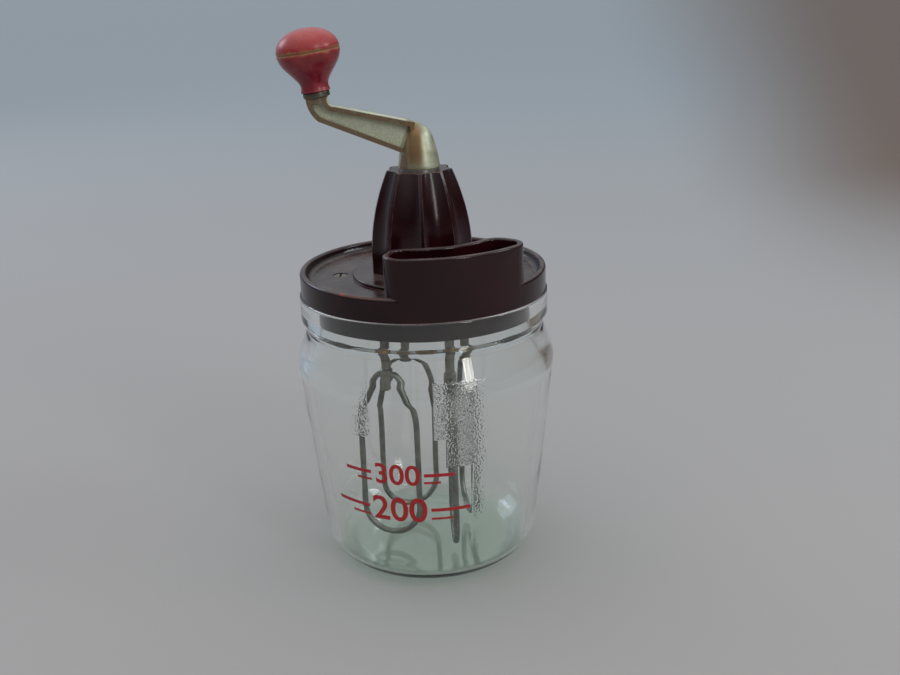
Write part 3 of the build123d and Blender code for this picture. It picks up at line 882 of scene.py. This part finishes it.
@dataclass(frozen=True)
class PrintedScale:
    """Level marks in enamel on the front of the jar, in millimetres."""

    azimuth: float = -15.5
    levels: tuple[Level, ...] = (Level("300", 57.0, 9.5, 12.5), Level("200", 40.5, 11.5, 16.5))
    font_size: float = 1.38
    font_swell: float = 0.022
    font_weld: float = 1e-4
    film: float = 0.03
    lift: float = 0.02
    facet: float = 1.2
    gap: float = 1.6
    bar_rows: tuple[Spot, ...] = ((0.0, 1.0, 1.5), (-0.36, 0.55, 1.0))

    def build(self, ink: bpy.types.Material) -> None:
        """Make every level.

        Args:
            ink: its finish.
        """
        for level in self.levels:
            number = self._number(level)
            half = max(vert.co.x for vert in number.verts)
            self._print(f"level_number_{level.text}", number, level.height, ink)
            for side, word in ((-1, "left"), (1, "right")):
                for row, (drop, share, thick) in enumerate(self.bar_rows):
                    long = level.bar * share
                    across = side * (half + self.gap + long / 2)
                    bm = bmesh.new()
                    bmesh.ops.create_cube(bm, size=1.0)
                    bmesh.ops.scale(bm, verts=bm.verts, vec=(long, thick, self.film * 2))
                    bmesh.ops.translate(bm, verts=bm.verts, vec=(across, level.tall * drop, 0))
                    self._print(f"level_bar_{level.text}_{word}_{row}", bm, level.height, ink)

    def _number(self, level: Level) -> bmesh.types.BMesh:
        """Flat number, centred on the origin.

        Args:
            level: the level that it names.

        Returns:
            Its mesh in millimetres.
        """
        curve = bpy.data.curves.new("number_" + level.text, "FONT")
        curve.body = level.text
        curve.align_x = "CENTER"
        curve.align_y = "CENTER"
        curve.size = level.tall * self.font_size
        curve.offset = level.tall * self.font_swell
        curve.extrude = self.film
        holder = bpy.data.objects.new("number_" + level.text, curve)
        bm = bmesh.new()
        bm.from_mesh(bpy.data.meshes.new_from_object(holder))
        bpy.data.objects.remove(holder)
        bpy.data.curves.remove(curve)
        bmesh.ops.remove_doubles(bm, verts=bm.verts, dist=self.font_weld)
        heights = [vert.co.y for vert in bm.verts]
        bmesh.ops.translate(bm, verts=bm.verts, vec=(0, -(max(heights) + min(heights)) / 2, 0))
        return bm

    def _print(
        self, name: str, bm: bmesh.types.BMesh, height: float, ink: bpy.types.Material
    ) -> None:
        """Lay a flat mark on the jar's wall.

        Args:
            name: its name.
            bm: mesh in millimetres, drawn flat about the origin.
            height: height that the origin comes to.
            ink: its finish.
        """
        low = min(vert.co.x for vert in bm.verts)
        high = max(vert.co.x for vert in bm.verts)
        cuts = int((high - low) / self.facet)
        for step in range(1, cuts):
            at = (low + (high - low) * step / cuts, 0, 0)
            whole = bm.verts[:] + bm.edges[:] + bm.faces[:]
            bmesh.ops.bisect_plane(bm, geom=whole, plane_co=at, plane_no=(1, 0, 0))
        for vert in bm.verts:
            up = height + vert.co.y
            out = wall_r(up) + self.lift + vert.co.z
            turn = math.radians(self.azimuth) + vert.co.x / wall_r(height)
            vert.co = Vector((out * math.sin(turn), -out * math.cos(turn), up)) * MM
        piece(name, bm, ink, Body.JAR, smooth=False)


@dataclass(frozen=True)
class Jar:
    """Glass jar with a printed scale, in millimetres."""

    wall: float = 4.4
    floor: float = 5.0
    shoulder_z: float = 94.0
    inner_shoulder_z: float = 90.0
    groove: Point = (50.0, 107.0)
    bead_r: float = 52.9
    bead_z: float = 111.3
    seat_z: float = 121.5
    lip: Point = (49.0, 124.2)
    mouth_r: float = 45.6
    mouth_z: float = 104.5
    base_round: float = 16.0
    shoulder_round: float = 17.0
    groove_round: float = 3.5
    bead_round: float = 1.8
    seat_rounds: Point = (0.9, 0.4)
    lip_round: float = 0.8
    mouth_round: float = 6.0
    floor_round: float = 7.0
    faces: int = 160
    round_faces: int = 12

    def build(self, shelf: Shelf) -> None:
        """Make the jar and its scale.

        Args:
            shelf: the finishes.
        """
        inner_shoulder_r = wall_r(self.inner_shoulder_z) - self.wall
        corners = [
            (0, 0, 0),
            (BASE_R, 0, self.base_round),
            (wall_r(self.shoulder_z), self.shoulder_z, self.shoulder_round),
            (*self.groove, self.groove_round),
            (self.bead_r, self.bead_z, self.bead_round),
            (self.bead_r, self.seat_z, self.seat_rounds[0]),
            (self.lip[0], self.seat_z, self.seat_rounds[1]),
            (*self.lip, self.lip_round),
            (self.mouth_r, self.lip[1], self.lip_round),
            (self.mouth_r, self.mouth_z, self.mouth_round),
            (inner_shoulder_r, self.inner_shoulder_z, self.shoulder_round),
            (wall_r(self.floor) - self.wall, self.floor, self.floor_round),
            (0, self.floor, 0),
        ]
        bm = lathe(rounded(corners, self.round_faces), self.faces)
        jar = piece("jar_glass_wall", bm, shelf.glass, Body.JAR)
        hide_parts("glass_jar")
        PrintedScale().build(shelf.ink)


@dataclass(frozen=True)
class Lid:
    """Moulded lid with the pieces that are fixed in it."""

    bushes: tuple[str, ...] = ("upper_bush", "lower_bush", *(f"whisk_bush_{n}" for n in WHISKS))
    screws: tuple[str, ...] = ("cover_screws", "cover_nuts")
    plates: tuple[str, ...] = ("gear_cover", "thrust_washer")

    def build(self, nodes: dict[str, Any], shelf: Shelf) -> None:
        """Dress the lid's nodes.

        Args:
            nodes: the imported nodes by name.
            shelf: the finishes.
        """
        dress(nodes, ("lid_body",), shelf.bakelite)
        dress(nodes, self.bushes, shelf.brass)
        dress(nodes, self.screws, shelf.screw)
        dress(nodes, self.plates, shelf.plate)


@dataclass(frozen=True)
class Crank:
    """Cast crank with its shaft, gear and pins."""

    rods: tuple[str, ...] = ("crank_shaft", "drive_gear_pin", "knob_pin", "knob_ring", "hub_screw")

    def build(self, nodes: dict[str, Any], shelf: Shelf) -> None:
        """Dress the crank's nodes.

        Args:
            nodes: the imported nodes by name.
            shelf: the finishes.
        """
        dress(nodes, ("crank_arm",), shelf.nickel)
        dress(nodes, ("knob_collar",), shelf.collar)
        dress(nodes, self.rods, shelf.rod)
        dress(nodes, ("shaft_clip",), shelf.plate)
        dress(nodes, ("drive_gear",), shelf.gear)


@dataclass(frozen=True)
class Knob:
    """Turned knob with a scored groove, hollow for its pin, along its own leaning axis in mm."""

    foot: Point = (5.4, 2.45)
    stem: tuple[Point, ...] = (
        (6.0, 2.45),
        (5.62, 4.4),
        (6.05, 6.2),
        (7.5, 8.4),
        (9.5, 10.9),
        (11.4, 13.5),
        (12.5, 16.1),
    )
    stem_steps: int = 6
    radius: float = 12.85
    past_equator: Point = (-0.1, 2.4)
    groove_deep: float = 0.28
    groove_half: float = 0.45
    groove_side: Point = (0.8, 0.35)
    groove_lip: float = 0.02
    top_s: float = 27.3
    top_steps: int = 24
    top_in: float = 0.93
    top_up: float = 0.97
    bore_r: float = 2.55
    bore_top_s: float = 19.3
    faces: int = 96

    def _stem(self) -> list[Point]:
        """Smooth curve through the stem's points, up to the groove.

        Returns:
            Its points.
        """
        equator = Vector((self.radius, KNOB_GROOVE_S))
        knots = [*(Vector(point) for point in self.stem), equator]
        knots = [knots[0], *knots, equator + Vector(self.past_equator)]
        points = []
        for before, first, second, after in zip(knots, knots[1:], knots[2:], knots[3:]):
            for step in range(self.stem_steps):
                share = step / self.stem_steps
                spot = (
                    first * 2
                    + (second - before) * share
                    + (before * 2 - first * 5 + second * 4 - after) * share**2
                    + (first * 3 - before - second * 3 + after) * share**3
                ) / 2
                if spot.y < KNOB_GROOVE_S - self.groove_half:
                    points.append(tuple(spot))
        return points

    def _groove(self) -> list[Point]:
        """Scored groove round the widest place, from its lower to its upper lip.

        Returns:
            Its points.
        """
        side = self.groove_deep * self.groove_side[0]
        beside = self.groove_half * self.groove_side[1]
        cut = (
            (0, -self.groove_half),
            (side, -beside),
            (self.groove_deep, 0),
            (side, beside),
            (self.groove_lip, self.groove_half),
        )
        return [(self.radius - sunk, KNOB_GROOVE_S + up) for sunk, up in cut]

    def _top(self) -> list[Point]:
        """Dome over the groove, closed at the axis.

        Returns:
            Its points.
        """
        tall = self.top_s - KNOB_GROOVE_S
        points = []
        for step in range(2, self.top_steps):
            turn = math.radians(90 * step / self.top_steps)
            out = self.radius * math.cos(turn) ** self.top_in
            points.append((out, KNOB_GROOVE_S + tall * math.sin(turn) ** self.top_up))
        return [*points, (0.0, self.top_s)]

    def build(self, paint: bpy.types.Material) -> None:
        """Make the knob.

        Args:
            paint: its finish.
        """
        bore = [(0.0, self.bore_top_s), (self.bore_r, self.bore_top_s), (self.bore_r, self.foot[1])]
        profile = [*bore, self.foot, *self._stem(), *self._groove(), *self._top()]
        bm = lathe(profile, self.faces)
        lean = Matrix.Rotation(math.radians(-KNOB_LEAN), 4, "Y")
        bmesh.ops.transform(bm, matrix=lean, verts=bm.verts)
        bmesh.ops.translate(bm, verts=bm.verts, vec=Vector(KNOB_SEAT) * MM)
        knob = piece("turned_knob", bm, paint, Body.KNOB)
        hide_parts("knob")


@dataclass(frozen=True)
class Whisks:
    """Spindles, pinions and wire loops of the four whisks."""

    numbers: tuple[int, ...] = WHISKS

    def build(self, nodes: dict[str, Any], shelf: Shelf) -> None:
        """Dress the whisks' nodes.

        Args:
            nodes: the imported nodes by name.
            shelf: the finishes.
        """
        for number in self.numbers:
            dress(nodes, (f"whisk_spindle_{number}",), shelf.rod)
            dress(nodes, (f"whisk_pinion_{number}",), shelf.gear)
            dress(nodes, (f"whisk_loop_{number}",), shelf.wire)


# ---------------------------------------------------------------- surroundings
@dataclass(frozen=True)
class Lamp:
    """Rectangular lamp, in metres and watts."""

    name: str
    place: Spot
    wide: float
    tall: float
    power: float
    shade: Shade

    def build(self, aim: Spot) -> None:
        """Hang the lamp.

        Args:
            aim: spot that it shines at.
        """
        data = bpy.data.lights.new(self.name, "AREA")
        data.shape = "RECTANGLE"
        data.size = self.wide
        data.size_y = self.tall
        data.energy = self.power
        data.color = tone(*self.shade)[:3]
        lamp = bpy.data.objects.new(self.name, data)
        lamp.location = self.place
        lamp.rotation_mode = "QUATERNION"
        lamp.rotation_quaternion = (Vector(aim) - Vector(self.place)).to_track_quat("-Z", "Y")
        bpy.context.scene.collection.objects.link(lamp)


@dataclass(frozen=True)
class Studio:
    """Floor, sky, lamps and the camera at the photograph's angle, in metres."""

    floor_r: float = 30.0
    floor_z: float = -0.00005
    floor_sides: int = 96
    sky: float = 1.0
    cool: Colour = (0.34, 0.42, 0.50, 1)
    warm: Colour = (0.10, 0.075, 0.05, 1)
    dim: Colour = (0.03, 0.028, 0.028, 1)
    bright: Colour = (1.02, 1.04, 1.06, 1)
    cool_to_warm: Point = (-0.7, 0.8)
    front_to_back: Point = (-0.5, 0.6)
    low_to_high: Point = (0.05, 0.75)
    aim: Spot = (0, 0, 0.12)
    lamps: tuple[Lamp, ...] = (
        Lamp("window", (0.70, -0.89, 0.66), 0.16, 0.72, 3.0, (255, 252, 246)),
        Lamp("far_window", (1.15, -0.18, 0.78), 0.30, 0.30, 2.4, (240, 250, 255)),
        Lamp("side_window", (-1.2, 0.9, 0.85), 0.7, 0.5, 4.0, (214, 230, 255)),
        Lamp("ceiling", (-0.2, 0.1, 1.9), 1.4, 1.4, 3.0, (255, 255, 255)),
    )
    camera_place: Spot = (0.0, -0.453711, 0.253745)
    yaw: float = 0.0235
    pitch: float = 0.3311
    roll: float = -0.0304
    lens: float = 44.0
    sensor: float = 36.0
    clip: Point = (0.01, 60.0)

    def build(self) -> None:
        """Set the scene round the object."""
        self._floor()
        self._sky()
        for lamp in self.lamps:
            lamp.build(self.aim)
        self._camera()
        bpy.context.scene.view_settings.view_transform = "Standard"

    def _floor(self) -> None:
        """Wide pale floor at the height of the jar's base."""
        bm = bmesh.new()
        bmesh.ops.create_circle(bm, cap_ends=True, segments=self.floor_sides, radius=self.floor_r)
        bmesh.ops.translate(bm, verts=bm.verts, vec=(0, 0, self.floor_z))
        mesh = bpy.data.meshes.new("pale_floor")
        bm.to_mesh(mesh)
        bm.free()
        mesh.materials.append(PaleFloor().build())
        floor = bpy.data.objects.new("pale_floor", mesh)
        bpy.context.scene.collection.objects.link(floor)

    def _sky(self) -> None:
        """Soft room: bright above, cool at the left and back, warm at the right, dim in front."""
        world = bpy.data.worlds.new("room")
        bpy.context.scene.world = world
        paint = Paint(world, "OutputWorld", "Generated")
        x, y, z = paint.axes()
        rear = paint.mix(x.rise(*self.cool_to_warm), self.cool, self.warm)
        low = paint.mix(y.rise(*self.front_to_back), self.dim, rear)
        whole = paint.mix(z.rise(*self.low_to_high), low, self.bright)
        paint.join(paint.node("Background", None, {"Color": whole, "Strength": self.sky}))

    def _camera(self) -> None:
        """Camera where the photograph was taken from."""
        flat = math.cos(self.pitch)
        ahead = Vector(
            (math.sin(self.yaw) * flat, math.cos(self.yaw) * flat, -math.sin(self.pitch))
        )
        level = Vector((math.cos(self.yaw), -math.sin(self.yaw), 0))
        above = level.cross(ahead)
        right = math.cos(self.roll) * level + math.sin(self.roll) * above
        up = math.cos(self.roll) * above - math.sin(self.roll) * level
        data = bpy.data.cameras.new("photo_camera")
        data.sensor_width = self.sensor
        data.lens = self.lens
        data.clip_start, data.clip_end = self.clip
        camera = bpy.data.objects.new("photo_camera", data)
        turn = Matrix((right, up, -ahead)).transposed().to_4x4()
        camera.matrix_world = Matrix.Translation(self.camera_place) @ turn
        bpy.context.scene.collection.objects.link(camera)
        bpy.context.scene.camera = camera


def main() -> None:
    """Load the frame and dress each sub-assembly in order."""
    logging.basicConfig(level=logging.INFO, format="%(name)s %(message)s")
    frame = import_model()
    nodes = frame["nodes"]
    shelf = Shelf.fill()
    Studio().build()
    Jar().build(shelf)
    Lid().build(nodes, shelf)
    Crank().build(nodes, shelf)
    Knob().build(shelf.wood)
    Whisks().build(nodes, shelf)


if __name__ == "__main__":
    main()
